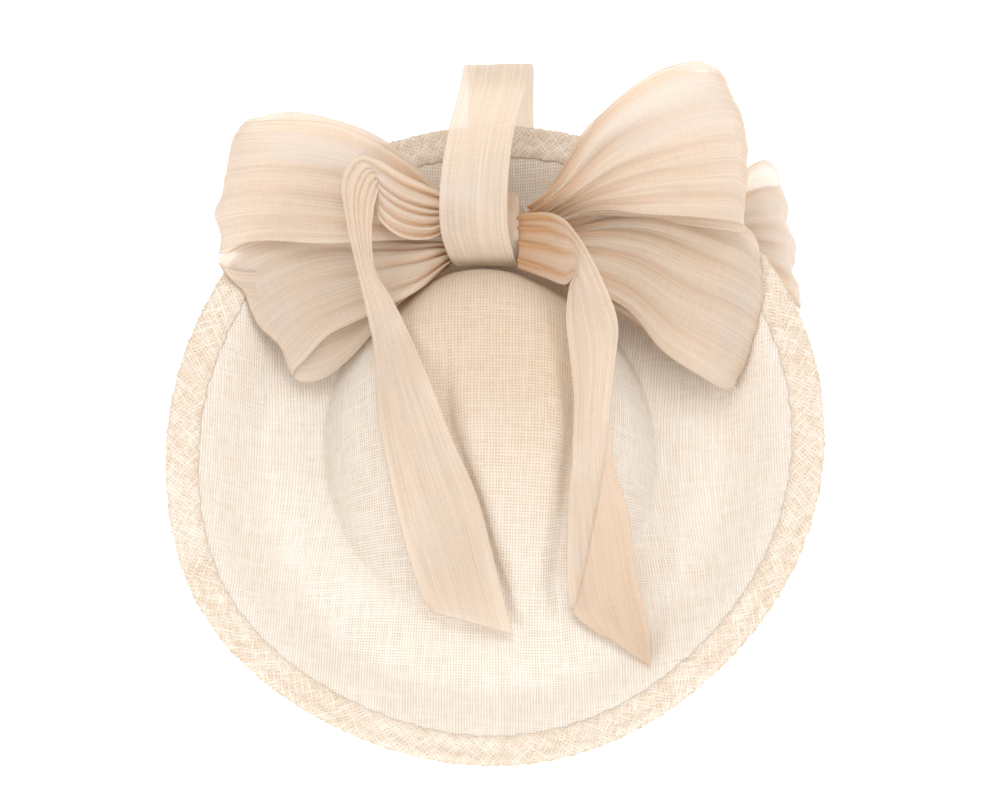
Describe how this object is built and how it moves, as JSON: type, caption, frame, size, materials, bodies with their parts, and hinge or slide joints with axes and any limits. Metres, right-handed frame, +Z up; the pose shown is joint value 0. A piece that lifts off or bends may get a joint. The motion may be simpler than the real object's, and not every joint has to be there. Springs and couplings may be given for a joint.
{
  "type": "fascinator hat",
  "caption": "Saucer-shaped sinamay fascinator with a front-pinched crown, bound upturned rim and a ribbon bow with long tails.",
  "frame": {"origin": "centre of the head-size oval, in the plane of the head ribbon's lower edge", "axes": "+X across the hat, +Y towards the back of the head where the bow is, +Z up"},
  "size_m": [0.3283, 0.3653, 0.0834],
  "materials": {
    "sinamay": "open plain-weave banana fibre, cream",
    "sinamay_lining": "open plain-weave banana fibre, cream",
    "bias_binding": "bias-cut open weave, folded double",
    "silk_abaca": "fine lengthwise fibres, translucent with a satin sheen",
    "petersham": "ribbed woven ribbon",
    "comb_plastic": "translucent moulded plastic",
    "steel_wire": "bright drawn wire",
    "thread": "sewing thread"
  },
  "bodies": {
    "hat": {"outer_ply": "sinamay", "inner_ply": "sinamay_lining", "rim_wire": "steel_wire", "wire_joiner": "steel_wire", "rim_binding": "bias_binding", "head_ribbon": "petersham", "elastic_loop_left": "thread", "elastic_loop_right": "thread", "bow_base": "sinamay_lining", "knot_core": "silk_abaca", "knot_wrap": "silk_abaca", "centre_loop": "silk_abaca", "left_upper_loop": "silk_abaca", "left_lower_loop": "silk_abaca", "left_tail": "silk_abaca", "right_tail": "silk_abaca", "right_upper_loop": "silk_abaca", "right_lower_loop": "silk_abaca", "right_back_loop": "silk_abaca"},
    "comb": {"hair_comb": "comb_plastic"}
  },
  "joints": [
    {"name": "comb_swing", "type": "hinge", "parent": "hat", "child": "comb", "pos_m": [0.01435, -0.07287, 0.0046], "axis": [-0.9936, -0.1132, 0], "range_deg": [0, 60]}
  ]
}
